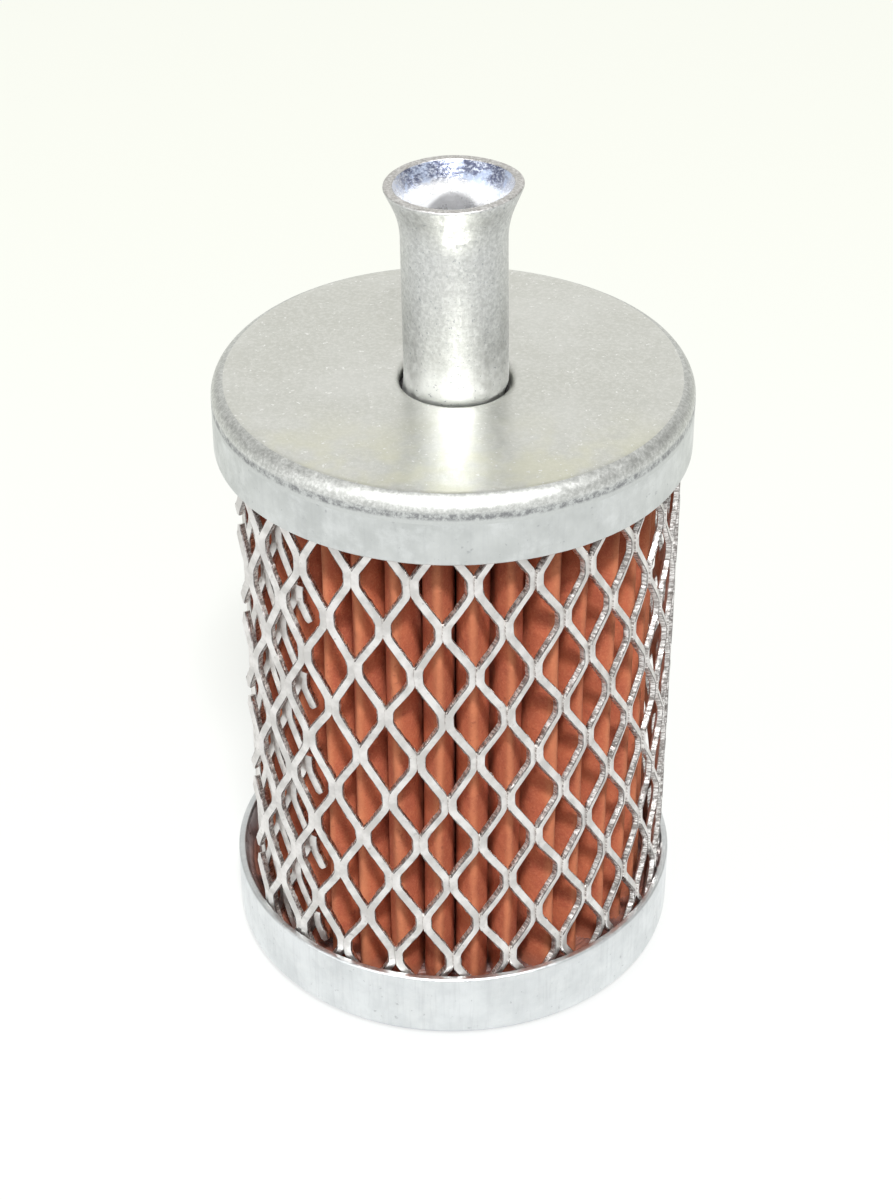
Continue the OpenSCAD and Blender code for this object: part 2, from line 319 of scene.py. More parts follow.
def corner_look():
    """Corner of the drawn cap: rough, with a broken painted dark reflection line just below it."""
    look = Look("drawn_corner", Metallic=1.0)
    height = look.axis("Z")
    grain = look.noise(0.26, 4, 0.7)
    base = look.blend(look.remap(grain, 0.35, 0.7), (0.52, 0.53, 0.51), (0.76, 0.77, 0.75))
    upper = look.remap(height, (BODY_TOP - 1.05) * MM, (BODY_TOP - 1.35) * MM)
    lower = look.remap(height, (BODY_TOP - 1.9) * MM, (BODY_TOP - 1.6) * MM)
    # painted dark reflection: a dark line just below the corner's arc, broken up by noise
    line = look.maths("MULTIPLY", upper, lower)
    line_breakup = look.remap(look.noise(0.5, 5, 0.8), 0.38, 0.60)
    wall = look.remap(height, (BODY_TOP - 1.5) * MM, (BODY_TOP - 1.0) * MM, 0.85, 0.0)
    base = look.blend(wall, base, (0.60, 0.62, 0.61))
    base = look.blend(look.maths("MULTIPLY", line, line_breakup), base, (0.27, 0.275, 0.28))
    rough = look.remap(look.noise(0.8, 4, 0.65), 0.3, 0.7, 0.42, 0.58)
    normal = look.bump(grain, 0.03, 0.6)
    return look.finish(base, rough, normal)


def bore_look():
    """Inside of the tube: painted bright, with a painted dark bluish reflection band and flecks below
    the back of the rim, painted blue reflections, and a painted grey shade deeper in."""
    look = Look("tube_bore", Metallic=0.6)
    flecks = look.noise(0.26, 3, 0.7, look.stretched(1, 1, 1.6))
    blue_reflection_cloud = look.noise(1.3, 3, 0.6)
    x, y = (look.maths("DIVIDE", look.axis(name), MM) for name in "XY")
    depth = look.maths("SUBTRACT", MOUTH, look.maths("DIVIDE", look.axis("Z"), MM))
    back = look.remap(y, 0.2, 3.0)
    # painted dark bluish reflection: a band below the back of the rim, with dark flecks in it
    band = look.maths("MULTIPLY", look.remap(depth, 1.9, 1.1), back)
    # painted light: a brighter base than the tube's outside, for the lit inside
    base = look.blend(look.maths("MULTIPLY", band, 0.75), (0.95, 0.955, 0.96), (0.36, 0.41, 0.53))
    spots = look.maths("MULTIPLY", look.remap(flecks, 0.39, 0.54), band)
    base = look.blend(look.maths("MULTIPLY", spots, 0.9), base, (0.07, 0.08, 0.15))
    # painted blue reflections in cloudy patches
    blue = look.maths("MULTIPLY", look.remap(blue_reflection_cloud, 0.48, 0.62), look.remap(depth, 2.6, 1.6))
    base = look.blend(look.maths("MULTIPLY", blue, 0.6), base, (0.55, 0.64, 0.82))
    # painted grey shade deeper in the bore
    painted_depth_shade = look.maths("SUBTRACT", depth, look.maths("MULTIPLY", look.maths("MULTIPLY", x, x), 0.26))
    base = look.blend(look.remap(painted_depth_shade, 2.1, 2.7, 0.0, 0.85), base, (0.36, 0.36, 0.37))
    rough = look.remap(blue_reflection_cloud, 0.3, 0.7, 0.2, 0.4)
    return look.finish(base, rough, look.bump(flecks, 0.05, 0.6))


def rim_look():
    """Sawn rim of the tube: dull warm grey with a rough grain."""
    look = Look("tube_rim", Metallic=1.0)
    grain = look.noise(0.22, 4, 0.7)
    base = look.blend(look.remap(grain, 0.35, 0.7), (0.47, 0.455, 0.44), (0.82, 0.81, 0.80))
    rough = look.remap(grain, 0.3, 0.7, 0.35, 0.6)
    return look.finish(base, rough, look.bump(grain, 0.03, 0.6))


def tube_look():
    """Satin tube: finely grained, with faint drawing streaks and dark specks, and painted light making it
    paler at its foot.
    """
    look = Look("satin_tube", Metallic=1.0)
    grain = look.noise(0.3, 4, 0.7)
    base = look.blend(look.remap(grain, 0.35, 0.7), (0.52, 0.53, 0.52), (0.71, 0.72, 0.71))
    drawn = look.noise(1.0, 3, 0.6, look.polar(0.5, 20, 0.12))
    base = look.blend(look.remap(drawn, 0.45, 0.75, 0.0, 0.4), base, (0.55, 0.55, 0.55))
    # painted light: the tube paler near its foot, where the cap's face lights it
    foot_painted_lighting = look.remap(look.axis("Z"), (BODY_TOP + 4.0) * MM, BODY_TOP * MM)
    base = look.blend(look.maths("MULTIPLY", foot_painted_lighting, 0.75), base, (0.93, 0.94, 0.93))
    specks = look.remap(look.noise(0.26, 3, 0.6), 0.62, 0.70)
    base = look.blend(look.maths("MULTIPLY", specks, 0.7), base, (0.24, 0.26, 0.29))
    rough = look.remap(look.noise(0.7, 4, 0.65), 0.3, 0.7, 0.40, 0.60)
    normal = look.bump(look.noise(0.2, 4, 0.7), 0.035, 0.5)
    normal = look.bump(drawn, 0.03, 0.3, normal)
    return look.finish(base, rough, normal)


def strand_look():
    """Flat faces of the expanded metal: bright tinplate, slightly warm."""
    look = Look("strand_face", Metallic=1.0)
    cloud = look.noise(1.6, 3, 0.6)
    base = look.blend(look.remap(cloud, 0.35, 0.68), (0.62, 0.605, 0.585), (0.84, 0.82, 0.80))
    dark = look.remap(look.noise(0.35, 2, 0.5), 0.66, 0.76)
    base = look.blend(look.maths("MULTIPLY", dark, 0.4), base, (0.35, 0.33, 0.31))
    rough = look.remap(look.noise(0.5, 3, 0.6), 0.3, 0.7, 0.30, 0.50)
    normal = look.bump(look.noise(0.18, 3, 0.6), 0.02, 0.4)
    return look.finish(base, rough, normal)


def shear_look():
    """Sheared side faces of the strands: torn, with bright teeth across the cut; the teeth's brightness is
    partly painted glints and the darker ground between them painted shade.
    """
    look = Look("strand_shear", Metallic=1.0)
    teeth = look.noise(1.0, 3, 0.6, look.stretched(1.6, 1.6, 6.2))
    # torn teeth pattern, painted as bright glints on a dark painted shade
    base = look.blend(look.remap(teeth, 0.40, 0.60), (0.36, 0.33, 0.315), (0.93, 0.91, 0.89))
    rough = look.remap(look.noise(0.3, 3, 0.6), 0.3, 0.7, 0.26, 0.42)
    normal = look.bump(teeth, 0.05, 0.5)
    return look.finish(base, rough, normal)


def edge_shade_look():
    """Broken front edges of the strands: a thin painted dark shade line along each side."""
    look = Look("strand_edge_shade", Metallic=1.0)
    grain = look.noise(0.3, 3, 0.6)
    # painted shade: dark colour on the edge chamfers, outlining each strand
    base = look.blend(look.remap(grain, 0.4, 0.68), (0.15, 0.135, 0.13), (0.42, 0.40, 0.39))
    rough = look.remap(grain, 0.3, 0.7, 0.35, 0.5)
    return look.finish(base, rough, look.bump(grain, 0.03, 0.5))


def paper_look():
    """Resin-treated filter paper: rust orange with fibre speckle, lighter along the creased
    tips of the pleats, partly painted light, and wetted by resin at the bottom."""
    look = Look("filter_paper", Specular_IOR_Level=0.25)
    fibre = look.noise(0.2, 5, 0.75, distortion=0.6)
    cloud = look.noise(3.0, 4, 0.6)
    base = look.blend(look.remap(cloud, 0.3, 0.7), (0.345, 0.083, 0.045), (0.45, 0.122, 0.058))
    base = look.blend(look.remap(fibre, 0.42, 0.72, 0.0, 0.7), base, (0.52, 0.185, 0.092))
    # lighter crest tips: partly the creased paper, partly painted light on the outermost crests
    uneven = look.maths("ADD", look.radius(), look.maths("MULTIPLY", cloud, 0.4 * MM))
    crease_and_painted_light = look.remap(uneven, 15.8 * MM, 16.35 * MM)
    base = look.blend(look.maths("MULTIPLY", crease_and_painted_light, 0.45), base, (0.51, 0.205, 0.10))
    specks = look.remap(look.noise(0.35, 2, 0.5), 0.64, 0.74)
    base = look.blend(look.maths("MULTIPLY", specks, 0.45), base, (0.20, 0.045, 0.03))
    level = cad["bottom_potting"][1][2]
    wet = look.remap(look.axis("Z"), (level + 0.3) * MM, (level - 1.1) * MM)
    base = look.blend(look.maths("MULTIPLY", wet, 0.5), base, (0.28, 0.12, 0.08))
    rough = look.remap(wet, 0.0, 1.0, 0.85, 0.35)
    normal = look.bump(fibre, 0.05, 0.6)
    normal = look.bump(look.noise(1.4, 4, 0.6), 0.25, 0.5, normal)
    return look.finish(base, rough, normal)


def resin_look():
    """Brown potting resin: glossy, a little cloudy, and grey where it is thin on the cap's wall."""
    look = Look("potting_resin", Coat_Weight=0.35, Coat_Roughness=0.2, Specular_IOR_Level=0.5)
    cloud = look.noise(2.0, 4, 0.6)
    base = look.blend(look.remap(cloud, 0.36, 0.62), (0.10, 0.05, 0.045), (0.24, 0.095, 0.065))
    thin = look.remap(look.radius(), 17.3 * MM, 18.1 * MM)
    haze = look.maths("MULTIPLY", thin, look.remap(cloud, 0.30, 0.6))
    base = look.blend(look.maths("MULTIPLY", haze, 0.8), base, (0.34, 0.34, 0.35))
    rough = look.remap(look.noise(0.8, 3, 0.6), 0.3, 0.7, 0.25, 0.55)
    normal = look.bump(look.noise(0.7, 3, 0.6), 0.10, 0.5)
    return look.finish(base, rough, normal)


def rubber_look():
    """Black rubber with a fine matt skin."""
    look = Look("seal_rubber", Specular_IOR_Level=0.4)
    cloud = look.noise(1.5, 3, 0.6)
    base = look.blend(look.remap(cloud, 0.3, 0.7), (0.012, 0.012, 0.013), (0.035, 0.034, 0.033))
    rough = look.remap(look.noise(0.4, 3, 0.6), 0.3, 0.7, 0.5, 0.75)
    return look.finish(base, rough, look.bump(look.noise(0.15, 3, 0.6), 0.02, 0.5))


def zinc_look():
    """Zinc-coated inner parts: the perforated core and the seam clip."""
    look = Look("zinc_sheet", Metallic=1.0)
    cloud = look.noise(2.0, 4, 0.6)
    base = look.blend(look.remap(cloud, 0.35, 0.68), (0.52, 0.53, 0.54), (0.68, 0.69, 0.70))
    rough = look.remap(look.noise(0.8, 4, 0.6), 0.3, 0.7, 0.35, 0.55)
    return look.finish(base, rough, look.bump(look.noise(0.25, 3, 0.6), 0.02, 0.4))


# ---------------------------------------------------------------- caps, tube and seal

CAP_RADIUS = cad["top_cap"][1][0]
BODY_TOP = cad["top_cap"][1][2]
SKIRT_END = cad["top_cap"][0][2]
RIM_TOP = cad["bottom_cap"][1][2]
MOUTH = cad["outlet_tube"][1][2]
TAIL_END = cad["outlet_tube"][0][2]
SEAL_TOP = cad["tube_seal"][1][2]
SEAL_LOW = cad["tube_seal"][0][2]
SEAL_RADIUS = cad["tube_seal"][1][0]
SHEET = 0.6
CORNER = 1.3  # outer corner of both caps
CORNER_LOOK_DEPTH = 2.2  # how far the corner's look comes down the wall
THROAT = 4.32  # radius of the hole round the tube
THROAT_DEPTH = 1.5
LIP = 0.7  # rolled edge of the hole
SKIRT_EDGE = 0.22  # rounding of the caps' open edges
CAP_STEP = 0.9  # longest edge of the caps' outlines
CAP_SEGMENTS = 288
TUBE_RADIUS = 4.0
TUBE_WALL = 0.7
BEAD_RADIUS = 5.9
BEAD_HEIGHT = 1.2
FLARE_BEND = 7.2
FLARE_ANGLE = math.radians(24)
FLARE_SLANT = 1.6
FLARE_STEPS = 16
FLARE_LENGTH = 5.0  # stretch below the mouth that is slightly uneven
SWELL = 0.07  # the tube is this much wider above the cap's face
SEAT_OFFSET = (0.24, -0.85, 0.0)  # how far the tube and the hole's edge move at the cap's face
SEAT_FAR = 9.5  # radius at which the cap's face is no longer moved with the tube
SEAT_FADE = 4.2


def pressed(seed, size):
    """Small unevenness of pressed sheet metal, larger away from the axis."""
    def wobble(r, z, angle):
        grow = (r / CAP_RADIUS) ** 2 * size
        return (
            r + waves(angle, seed, (2, 3, 5), 0.5) * grow,
            z + waves(angle, seed + 1, (2, 3, 4, 7), 0.6) * grow,
        )
    return wobble


def build_top_cap():
    inner = CAP_RADIUS - SHEET
    face = BODY_TOP - SHEET
    outline = rounded_loop([
        (THROAT, BODY_TOP - THROAT_DEPTH, 0.08),
        (THROAT + SHEET, BODY_TOP - THROAT_DEPTH, 0.08),
        (THROAT + SHEET, face, LIP - SHEET),
        (inner, face, CORNER - SHEET),
        (inner, SKIRT_END, 0.1),
        (CAP_RADIUS, SKIRT_END, SKIRT_EDGE),
        (CAP_RADIUS, BODY_TOP, CORNER),
        (THROAT, BODY_TOP, LIP),
    ], 12)
    cap = turned_ring(
        "top_cap_pressing", split_long(outline, CAP_STEP), CAP_SEGMENTS, pressed(3, 0.05),
        replaced=["top_cap"], slot="cap_metal_top", sharp=50,
    )
    wall = wall_tin_look("drawn_wall_top", (0.55, 0.57, 0.56), (0.64, 0.66, 0.65), 0.12)
    for look in (face_tin_look(), wall, corner_look()):
        cap.data.materials.append(look)
    for polygon in cap.data.polygons:
        if polygon.center.z < (BODY_TOP - CORNER_LOOK_DEPTH) * MM:
            polygon.material_index = 1
        elif math.hypot(*polygon.center[:2]) > (CAP_RADIUS - 0.75 * CORNER) * MM:
            polygon.material_index = 2
    seat_aside(cap)


def build_bottom_cap():
    inner = CAP_RADIUS - SHEET
    outline = rounded_loop([
        (0.0, 0.0, 0.0),
        (CAP_RADIUS, 0.0, CORNER),
        (CAP_RADIUS, RIM_TOP, SKIRT_EDGE),
        (inner, RIM_TOP, 0.12),
        (inner, SHEET, CORNER - SHEET),
        (0.0, SHEET, 0.0),
    ], 12)
    cap = turned_disc(
        "bottom_cap_pressing", split_long(outline, CAP_STEP), CAP_SEGMENTS, pressed(9, 0.04),
        replaced=["bottom_cap"], slot="cap_metal_bottom", sharp=50,
    )
    # painted light: the same drawn tinplate as the top cap's wall, given paler, bluer colours for the
    # brighter light on the bottom cap
    wall = wall_tin_look("drawn_wall_bottom", (0.68, 0.705, 0.715), (0.79, 0.815, 0.825), 0.14)
    cap.data.materials.append(wall)


def flare(side):
    """Outline corners up the bell mouth, on the surface that lies side inside the outer one."""
    centre = TUBE_RADIUS + FLARE_BEND
    rim = centre - FLARE_BEND * math.cos(FLARE_ANGLE) + FLARE_SLANT * math.sin(FLARE_ANGLE)
    foot_painted_lighting = MOUTH - FLARE_SLANT * math.cos(FLARE_ANGLE) - FLARE_BEND * math.sin(FLARE_ANGLE)
    bend = FLARE_BEND + side
    angles = [FLARE_ANGLE * k / FLARE_STEPS for k in range(FLARE_STEPS + 1)]
    points = [(centre - bend * math.cos(angle), foot_painted_lighting + bend * math.sin(angle), 0) for angle in angles]
    return points + [(rim - side / math.cos(FLARE_ANGLE), MOUTH, 0.14)]


def seat_aside(piece):
    """Moves the tube and the cap round its hole a little forward and right: fully at the cap's
    face, less and less up to the mouth, down to the seal and outward on the face."""
    for vertex in piece.data.vertices:
        x, y, z = vertex.co / MM
        above = np.clip((MOUTH - z) / (MOUTH - BODY_TOP), 0, 1)
        below = np.clip((z - SEAL_TOP) / (BODY_TOP - SEAL_TOP), 0, 1)
        near = np.clip((SEAT_FAR - math.hypot(x, y)) / SEAT_FADE, 0, 1)
        part = above * below * near * near * (3 - 2 * near)
        vertex.co += Vector(SEAT_OFFSET) * MM * part


def build_tube():
    bead_low = SEAL_LOW - BEAD_HEIGHT
    profile = [
        (TUBE_RADIUS - TUBE_WALL, TAIL_END, 0.08),
        (TUBE_RADIUS, TAIL_END, 0.08),
        (TUBE_RADIUS, bead_low, 0.1),
        (BEAD_RADIUS, bead_low, 0.55),
        (BEAD_RADIUS, SEAL_LOW, 0.55),
        (TUBE_RADIUS, SEAL_LOW, 0.1),
    ]
    loop = rounded_loop(profile + flare(0) + flare(TUBE_WALL)[::-1], 6)

    def wobble(r, z, angle):
        high = np.clip((z - MOUTH + FLARE_LENGTH) / FLARE_LENGTH, 0, 1)
        out = waves(angle, 12, (2, 3), 0.035) * high
        up = waves(angle, 14, (2, 3, 5, 9), 0.04) - 0.13 * np.sin(angle) + 0.15 * np.cos(angle)
        swell = SWELL * np.clip((z - SEAL_TOP) / (BODY_TOP - SEAL_TOP), 0, 1)
        return r + out + swell, z + (up - 0.05) * high ** 3

    tube = turned_ring(
        "flared_outlet_tube", split_long(loop, 0.7), 192, wobble,
        replaced=["outlet_tube"], slot="tube_metal", sharp=50,
    )
    for look in (tube_look(), bore_look(), rim_look()):
        tube.data.materials.append(look)
    seat_aside(tube)
    for polygon in tube.data.polygons:
        outward = polygon.normal.x * polygon.center.x + polygon.normal.y * polygon.center.y
        if polygon.normal.z > 0.6 and polygon.center.z > (MOUTH - 0.4) * MM:
            polygon.material_index = 2
        elif outward < 0 and polygon.center.z > (TAIL_END + 0.2) * MM:
            polygon.material_index = 1


def build_seal():
    loop = rounded_loop([
        (TUBE_RADIUS, SEAL_LOW, 0.15),
        (SEAL_RADIUS, SEAL_LOW, 0.3),
        (SEAL_RADIUS, SEAL_TOP, 0.3),
        (TUBE_RADIUS, SEAL_TOP, 0.15),
    ], 5)
    seal = turned_ring(
        "rubber_seal_ring", split_long(loop, 0.5), 96, replaced=["tube_seal"], slot="seal_rubber",
    )
    seal.data.materials.append(rubber_look())


# ---------------------------------------------------------------- expanded-metal sleeve

# The sleeve is made flat, with strands that zigzag up between columns half a diamond apart,
# and is rolled afterwards. Column 0 is at its outer cut edge, LAST_COLUMN at the inner one.
DIAMONDS_ROUND = 24
DIAMOND_HEIGHT = 8.15
HALF_ROW = DIAMOND_HEIGHT / 2
SLEEVE_RADIUS = 17.7
COLUMN_ARC = math.pi * (SLEEVE_RADIUS + 0.5) / DIAMONDS_ROUND
LAST_COLUMN = 50
SLEEVE_START = math.radians(210.3)
SLEEVE_LOW = 1.2
SLEEVE_HIGH = 51.5
TRIM = 0.3  # the flat cut leaves this much below SLEEVE_LOW, and the last cut takes it off
SKEW = math.radians(1.2)  # the sheet is rolled slightly askew
LATTICE_DROP = 0.75  # the whole lattice is lowered this much as it is rolled
ROW_DIP = 0.9  # the rows lie this much lower at the left and right
LAP_START = 0.55  # where the sheet begins to step in under its outer end, in turns
LAP_SPAN = 0.4  # length of that step, in turns
LAP_GAP = 1.1  # how far the inner layer lies inside the outer one
LAP_DROP = 2.0  # how much lower its rows are
LAP_SHIFT = 0.035  # how much further round it is, in radians
STRAND_TILT = math.radians(20)
STRAND_HALF = 0.36
SHEET_HALF = 0.26
EDGE_BREAK = 0.07
CROWN = 0.012  # bulge of the strands' flats
TEAR = 0.022  # unevenness of the sheared sides
CONTACT = 0.30  # a strand's centre line stops this short of the columns, so that neighbours overlap
DWELL = 0.17  # where the flat at a bond turns into the slope, in half rows
BEND = 0.09  # half the length of that bend
RINGS_PER_ROW = 16  # rings of points on each half row
CUT_ROWS = 14  # rows of cut strands at the two cut edges, up past the sleeve's top
CUT_REACH = 1.9  # distance of the outer cut edge from column 0
STUB_RINGS = 14  # rings of the cut strands there, above and below a bond
HOOK_RINGS = 8.5  # rings of the loose hooks at the inner edge below a bond, give or take HOOK_SPREAD
HOOK_SPREAD = 1.5
HOOK_END = 4  # rings above the bond
HOOK_TAPER = (0.72, 0.85)


def zigzag(u):
    """0 at even whole numbers, 1 at odd ones, with short flats joined by rounded bends."""
    base = np.floor(u)
    t = u - base
    near = np.minimum(t, 1 - t)
    slope = 1 / (1 - 2 * DWELL)
    bend = slope * (near - DWELL + BEND) ** 2 / (4 * BEND)
    straight = slope * (near - DWELL)
    ramp = np.where(near < DWELL - BEND, 0, np.where(near < DWELL + BEND, bend, straight))
    value = np.where(t > 0.5, 1 - ramp, ramp)
    return np.where(base % 2 == 0, value, 1 - value)


def drift(across, up):
    """Slight unevenness of the whole lattice, the same for touching strands."""
    return (
        0.05 * np.sin(0.9 * across + 0.31 * up + 1.0) + 0.03 * np.sin(0.37 * across - 0.83 * up),
        0.05 * np.sin(0.53 * across + 0.71 * up + 2.0) + 0.03 * np.sin(1.3 * across - 0.29 * up),
    )


def strand_section():
    """Strand outline across (x) and outward (y), with a faint crown on both flats."""
    a, b, e = STRAND_HALF, SHEET_HALF, EDGE_BREAK
    return np.array([
        (-a + e, b), (0, b + CROWN), (a - e, b), (a, b - e), (a, 0), (a, -b + e),
        (a - e, -b), (0, -b - CROWN), (-a + e, -b), (-a, -b + e), (-a, 0), (-a, b - e),
    ])


FACE, SHEAR, EDGE_SHADE = range(3)  # the strands' looks
STRAND_SIDES = {2: EDGE_SHADE, 3: SHEAR, 4: SHEAR, 9: SHEAR, 10: SHEAR, 11: EDGE_SHADE}  # the rest are FACE


def strand_mesh(k, up, rng, taper=(1.0, 1.0)):
    """Points (across, outward, up), faces and looks of strand k in the flat lattice. taper is the
    scale of its section at the two ends."""
    across = k * COLUMN_ARC + CONTACT + (COLUMN_ARC - 2 * CONTACT) * zigzag(up / HALF_ROW - k)
    dx, dz = drift(across, up)
    path = np.stack([across + dx, up + dz], -1)
    tangent = np.gradient(path, axis=0)
    tangent /= np.linalg.norm(tangent, axis=1)[:, None]
    right = np.stack([tangent[:, 1], -tangent[:, 0]], -1)
    section = strand_section()
    count = len(section)
    width = np.repeat(section[None, :, 0], len(up), 0)
    depth = np.repeat(section[None, :, 1], len(up), 0)
    torn = rng.normal(0, TEAR, (len(up), 2))
    width[:, 3:6] += torn[:, :1]
    width[:, 9:12] += torn[:, 1:]
    scale = np.ones(len(up))
    scale[0], scale[-1] = taper
    width, depth = width * scale[:, None], depth * scale[:, None]
    sideways = width * math.cos(STRAND_TILT) + depth * math.sin(STRAND_TILT)
    outward = depth * math.cos(STRAND_TILT) - width * math.sin(STRAND_TILT)
    points = np.stack([
        path[:, :1] + right[:, :1] * sideways,
        outward,
        path[:, 1:] + right[:, 1:] * sideways,
    ], -1).reshape(-1, 3)
    faces = ring_faces(len(up), count, False)
    faces.append(tuple(range(count)))
    faces.append(tuple((len(up) - 1) * count + p for p in reversed(range(count))))
    kinds = []
    for height in (up[:-1] + up[1:]) / 2:
        ring = dict(STRAND_SIDES)
        step = height / HALF_ROW - k
        if abs(step - round(step)) < DWELL + BEND / 2:
            ring[2 if round(step) % 2 else 11] = FACE
        kinds += [ring.get(p, FACE) for p in range(count)]
    kinds += [SHEAR, SHEAR]
    return points, faces, kinds


def flat_group(name, parts, looks):
    """One mesh object in the flat lattice, from several strands."""
    points, faces, kinds, base = [], [], [], 0
    for part_points, part_faces, part_kinds in parts:
        points.append(part_points)
        faces += [tuple(i + base for i in face) for face in part_faces]
        kinds += part_kinds
        base += len(part_points)
    mesh = bpy.data.meshes.new(name)
    mesh.from_pydata(np.vstack(points).tolist(), [], faces)
    for look in looks:
        mesh.materials.append(look)
    mesh.polygons.foreach_set("material_index", kinds)
    face_outward(mesh)
    piece = bpy.data.objects.new(name, mesh)
    bpy.context.scene.collection.objects.link(piece)
    return piece


def strand_rows():
    """Heights of the rings along a whole strand, a little past both ends."""
    low, high = SLEEVE_LOW + LATTICE_DROP - 3, SLEEVE_HIGH + LATTICE_DROP + 1
    first = math.floor(low / HALF_ROW * RINGS_PER_ROW)
    last = math.ceil(high / HALF_ROW * RINGS_PER_ROW)
    return np.arange(first, last + 1) * HALF_ROW / RINGS_PER_ROW


def cut_flat(piece, point, normal):
    """Cuts away what lies beyond a plane and closes the cut."""
    work = bmesh.new()
    work.from_mesh(piece.data)
    whole = work.verts[:] + work.edges[:] + work.faces[:]
    cut = bmesh.ops.bisect_plane(work, geom=whole, plane_co=point, plane_no=normal, clear_outer=True)
    edges = [e for e in cut["geom_cut"] if isinstance(e, bmesh.types.BMEdge)]
    filled = bmesh.ops.holes_fill(work, edges=edges)
    for face in filled["faces"]:
        face.material_index = SHEAR
    work.to_mesh(piece.data)
    work.free()


def flat_strands():
    """Every second strand of the flat lattice, then the others with the cut ends beside them."""
    rng = np.random.default_rng(41)
    even, odd = [], []
    for k in range(LAST_COLUMN):
        (odd if k % 2 else even).append(strand_mesh(k, strand_rows(), rng))
    step = HALF_ROW / RINGS_PER_ROW
    for m in range(CUT_ROWS):
        bond = 2 * m * HALF_ROW
        rows = np.arange(-STUB_RINGS, STUB_RINGS + 1) * step + bond
        odd.append(strand_mesh(-1, rows, rng))
        bond = (2 * m + LAST_COLUMN % 2) * HALF_ROW
        below = round(HOOK_RINGS + rng.uniform(-HOOK_SPREAD, HOOK_SPREAD))
        rows = np.arange(-below, HOOK_END) * step + bond
        odd.append(strand_mesh(LAST_COLUMN, rows, rng, HOOK_TAPER))
    return even, odd


def build_sleeve():
    looks = [strand_look(), shear_look(), edge_shade_look()]
    even_parts, odd_parts = flat_strands()
    even = flat_group("sleeve_even", even_parts, looks)
    odd = flat_group("sleeve_odd", odd_parts, looks)
    cut_flat(odd, (-CUT_REACH, 0, 0), (-1, 0, 0))
    joined = even.modifiers.new("weld", "BOOLEAN")
    joined.operation = "UNION"
    joined.solver = "MANIFOLD"
    joined.object = odd
    bpy.context.view_layer.update()
    graph = bpy.context.evaluated_depsgraph_get()
    mesh = bpy.data.meshes.new_from_object(even.evaluated_get(graph))
    bpy.data.objects.remove(even)
    bpy.data.objects.remove(odd)
    piece = bpy.data.objects.new("expanded_metal_sleeve", mesh)
    mesh.name = piece.name
    bpy.context.scene.collection.objects.link(piece)
    upward = Vector((math.sin(SKEW), 0, math.cos(SKEW)))
    cut_flat(piece, upward * (SLEEVE_HIGH + LATTICE_DROP), upward)
    cut_flat(piece, upward * (SLEEVE_LOW - TRIM + LATTICE_DROP), -upward)
    wrap_sleeve(mesh)
    cut_flat(piece, (0, 0, SLEEVE_LOW * MM), (0, 0, -1))
    face_outward(mesh)
    mesh.shade_smooth()
    mesh.set_sharp_from_angle(angle=math.radians(34))
    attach(piece, "root")
    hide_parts("mesh_sleeve")


def wrap_sleeve(mesh):
    """Rolls the flat lattice onto the cylinder, its inner end stepping in under the lap."""
    flat = np.empty(len(mesh.vertices) * 3)
    mesh.vertices.foreach_get("co", flat)
    across, outward, up = flat.reshape(-1, 3).T
    around = across * math.cos(SKEW) - up * math.sin(SKEW)
    height = across * math.sin(SKEW) + up * math.cos(SKEW) - LATTICE_DROP
    turn = SLEEVE_START + around / COLUMN_ARC * math.pi / DIAMONDS_ROUND
    lap = np.clip((across / COLUMN_ARC / (2 * DIAMONDS_ROUND) - LAP_START) / LAP_SPAN, 0, 1)
    lap = lap * lap * (3 - 2 * lap)
    turn = turn + LAP_SHIFT * lap
    height = height - LAP_DROP * lap - ROW_DIP * np.cos(turn) ** 2
    radius = SLEEVE_RADIUS - LAP_GAP * lap + outward
    points = np.stack([radius * np.cos(turn), radius * np.sin(turn), height], -1) * MM
    mesh.vertices.foreach_set("co", points.ravel())
    mesh.update()


# ---------------------------------------------------------------- pleated paper

PLEATS = 32
PAPER = 0.4
PAPER_LOW = cad["pleated_paper"][0][2]
PAPER_HIGH = cad["pleated_paper"][1][2]
PAPER_RINGS = 44
CREST = 16.25
FOLD = 6.3  # radius of the inner folds
FOLD_HALF = 0.14
JOINED_PLEAT = math.radians(85.2)  # pleat 0, whose two ends the seam clip holds
JOINED_CREST = 15.5
# A pleat's half width at depths below its crest.
CREST_DEPTHS = np.array([0.0, 0.07, 0.2, 0.45, 0.8, 1.2, 1.6, 2.0, 2.5, 3.4, 5.0, 7.2])
CREST_WIDTHS = np.array([0.10, 0.24, 0.36, 0.55, 0.80, 1.04, 1.20, 1.27, 1.29, 1.3, 1.3, 1.3])
FRONT_SHIFTS = {14: 0.03, 15: 0.09, 16: 0.11, 17: -0.23, 18: -0.50}  # of the pleats at the front


def pleat_flank(j, z, shapes):
    """One pleat at one height: distances from the axis, half widths and sideways shifts."""
    lean, shift, crest, plump, phase = (values[j] for values in shapes)
    if j == 0:
        half = np.minimum(PAPER + 0.02, 0.1 + CREST_DEPTHS)
        return JOINED_CREST - CREST_DEPTHS, half, 0 * CREST_DEPTHS
    bend = 0.10 * math.sin(z / 9 + phase[0]) + 0.05 * math.sin(z / 3.4 + phase[1])
    tip = CREST - 0.2 * crest - 0.05 * (1 + math.sin(z / 6 + phase[2]))
    along = tip - CREST_DEPTHS
    room = along * math.pi / PLEATS - 0.03
    half = np.minimum(CREST_WIDTHS * (0.90 + 0.10 * plump), room)
    fade = np.clip(1 - CREST_DEPTHS / 2.3, 0, 1)
    return along, half, (FRONT_SHIFTS.get(j, 0.3 * shift) + 0.1 * lean * fade + bend) * fade


